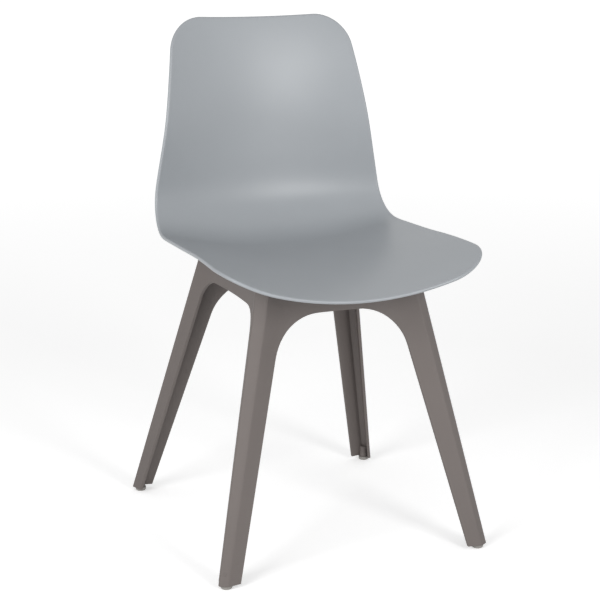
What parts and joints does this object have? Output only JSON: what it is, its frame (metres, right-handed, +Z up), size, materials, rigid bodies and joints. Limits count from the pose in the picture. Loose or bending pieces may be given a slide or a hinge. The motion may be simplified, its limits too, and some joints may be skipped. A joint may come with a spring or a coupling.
{
  "type": "moulded plastic shell chair",
  "caption": "Side chair with a one-piece moulded plastic seat and back shell, screwed onto a one-piece moulded frame of splayed legs joined by arched aprons.",
  "frame": {"origin": "on the floor under the middle of the overall box", "axes": "+Z up, -Y to the front of the chair, +X to the sitter's left"},
  "size_m": [0.4578, 0.5024, 0.8235],
  "materials": {
    "shell": "satin blue-grey moulded polypropylene",
    "frame": "matte warm grey moulded plastic",
    "glides": "plain moulded nylon",
    "inserts": "plain turned",
    "fasteners": "zinc plated"
  },
  "bodies": {
    "root": {"seat_shell": "shell", "leg_frame": "frame", "glide_front_right": "glides", "glide_front_left": "glides", "glide_rear_right": "glides", "glide_rear_left": "glides", "insert_front_right": "inserts", "washer_front_right": "fasteners", "screw_front_right": "fasteners", "insert_front_left": "inserts", "washer_front_left": "fasteners", "screw_front_left": "fasteners", "insert_rear_right": "inserts", "washer_rear_right": "fasteners", "screw_rear_right": "fasteners", "insert_rear_left": "inserts", "washer_rear_left": "fasteners", "screw_rear_left": "fasteners"}
  },
  "joints": []
}
